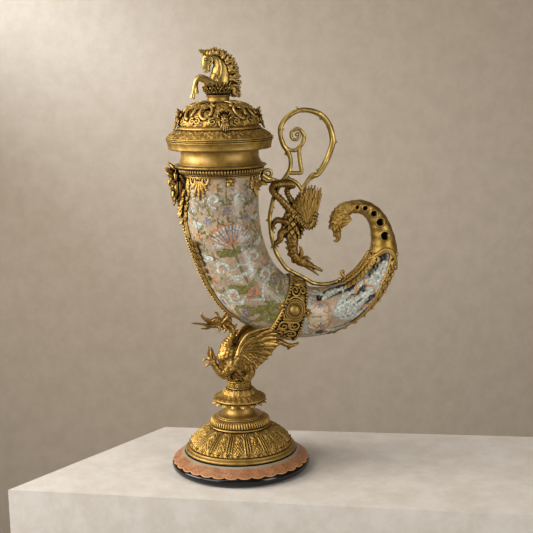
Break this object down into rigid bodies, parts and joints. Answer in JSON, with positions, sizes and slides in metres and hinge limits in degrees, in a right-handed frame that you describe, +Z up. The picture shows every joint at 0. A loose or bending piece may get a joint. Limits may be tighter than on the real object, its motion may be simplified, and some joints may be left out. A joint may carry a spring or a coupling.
{
  "type": "covered horn ewer",
  "caption": "Covered horn-shaped ewer of painted porcelain in gilt bronze mounts, held by a winged dragon on a round foot, with a branch handle and a lift-off lid under a rearing horse.",
  "frame": {"origin": "centre of the felt pad's underside, where the foot stands on a surface", "axes": "+Z up, +X from the mouth's side towards the horn's curled tail, the horn's plane is XZ"},
  "size_m": [0.3144, 0.1862, 0.5602],
  "materials": {
    "gilt_bronze": "burnished antique gilding",
    "patinated_bronze": "gilt bronze with dark patina in its relief",
    "porcelain": "painted and crackle glazed",
    "black_glaze": "gloss black",
    "terracotta_glaze": "satin terracotta with a scalloped border",
    "felt": "felt",
    "steel": "plain"
  },
  "bodies": {
    "ewer": {"base_felt": "felt", "plinth": "black_glaze", "scalloped_skirt": "terracotta_glaze", "foot_ring": "gilt_bronze", "foot_dome": "patinated_bronze", "gadroon_ring": "gilt_bronze", "stem_spool": "gilt_bronze", "leaf_pan": "patinated_bronze", "wreath_collar": "patinated_bronze", "tie_rod": "steel", "tie_washer": "steel", "tie_nut": "steel", "support_dragon": "patinated_bronze", "support_wing_near": "patinated_bronze", "support_wing_far": "patinated_bronze", "horn_front": "porcelain", "horn_tail": "porcelain", "horn_collar": "patinated_bronze", "collar_beads_front": "gilt_bronze", "collar_beads_rear": "gilt_bronze", "collar_boss_near": "gilt_bronze", "collar_boss_far": "gilt_bronze", "eagle_tip": "gilt_bronze", "front_strip": "gilt_bronze", "tail_strip": "gilt_bronze", "tail_leaf": "gilt_bronze", "front_mask": "patinated_bronze", "palmette_near": "gilt_bronze", "palmette_far": "gilt_bronze", "floret_near": "gilt_bronze", "floret_far": "gilt_bronze", "root_leaf_near": "gilt_bronze", "root_leaf_far": "gilt_bronze", "handle_branch": "gilt_bronze", "handle_scroll": "gilt_bronze", "handle_arc": "gilt_bronze", "hanging_dragon": "patinated_bronze", "hanging_wing_near": "patinated_bronze", "hanging_wing_far": "patinated_bronze", "neck_ring": "gilt_bronze", "neck_mount": "gilt_bronze", "mouth_liner": "gilt_bronze"},
    "lid": {"lid_base": "gilt_bronze", "lid_dome": "patinated_bronze", "lid_bezel": "gilt_bronze", "lid_mask_1": "patinated_bronze", "lid_mask_2": "patinated_bronze", "lid_mask_3": "patinated_bronze", "lid_mask_4": "patinated_bronze", "finial_socket": "gilt_bronze", "finial_stud": "steel", "finial_nut": "steel", "horse_finial": "gilt_bronze"}
  },
  "joints": [
    {"name": "lid_lift", "type": "slide", "parent": "ewer", "child": "lid", "axis": [0, 0, 1], "range_m": [0, 0.09]}
  ]
}
